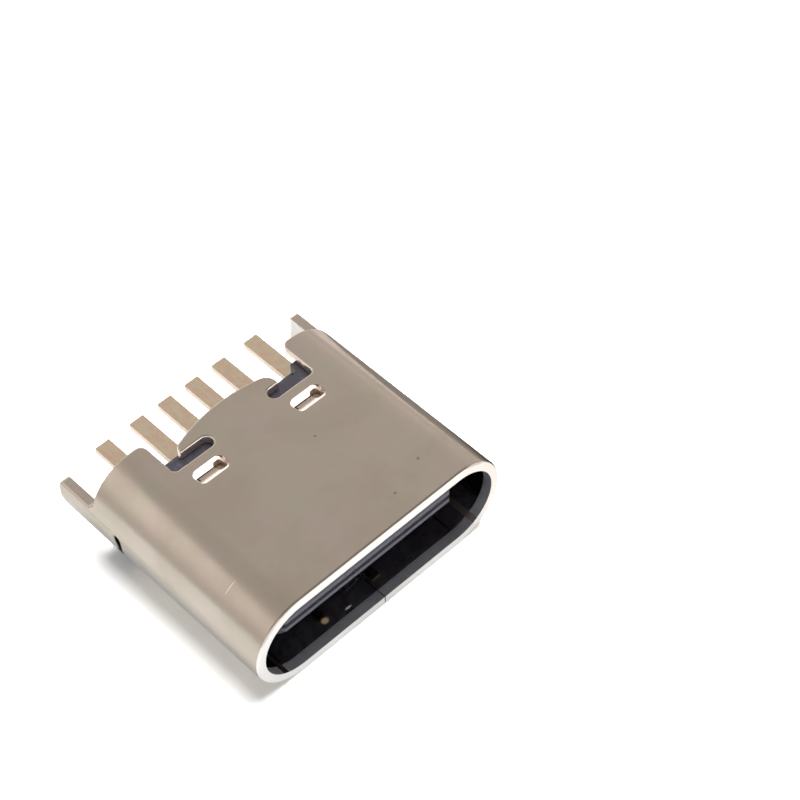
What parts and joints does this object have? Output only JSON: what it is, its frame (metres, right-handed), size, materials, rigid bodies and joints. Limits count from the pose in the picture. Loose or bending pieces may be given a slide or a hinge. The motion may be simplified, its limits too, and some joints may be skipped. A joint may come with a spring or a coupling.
{
  "type": "usb-c socket",
  "caption": "Upright USB-C socket: a folded metal shell with an oval mouth, a flat tongue with gold contacts, side legs and a row of solder tails.",
  "frame": {"origin": "under the middle of the part's bounding box, on the surface that it lies on", "axes": "+X across the mouth, -Y the side where the plug goes in, +Y the solder side, +Z from the seam face to the notched face"},
  "size_m": [0.009, 0.0084, 0.0032],
  "materials": {
    "nickel_plate": "bright nickel plate, slightly warm, with fine handling marks",
    "black_plastic": "black glass-filled plastic with a smooth moulded skin",
    "tongue_plastic": "black glass-filled plastic",
    "bare_steel": "stamped stainless steel",
    "gold_plate": "pale gold over nickel on copper alloy"
  },
  "bodies": {
    "root": {"shell": "nickel_plate", "base_housing": "black_plastic", "upper_core": "tongue_plastic", "lower_core": "tongue_plastic", "mid_plate": "bare_steel", "ground_contact_upper": "gold_plate", "supply_contact_upper": "gold_plate", "sense_contact_upper": "gold_plate", "sense_contact_lower": "gold_plate", "supply_contact_lower": "gold_plate", "ground_contact_lower": "gold_plate"}
  },
  "joints": []
}
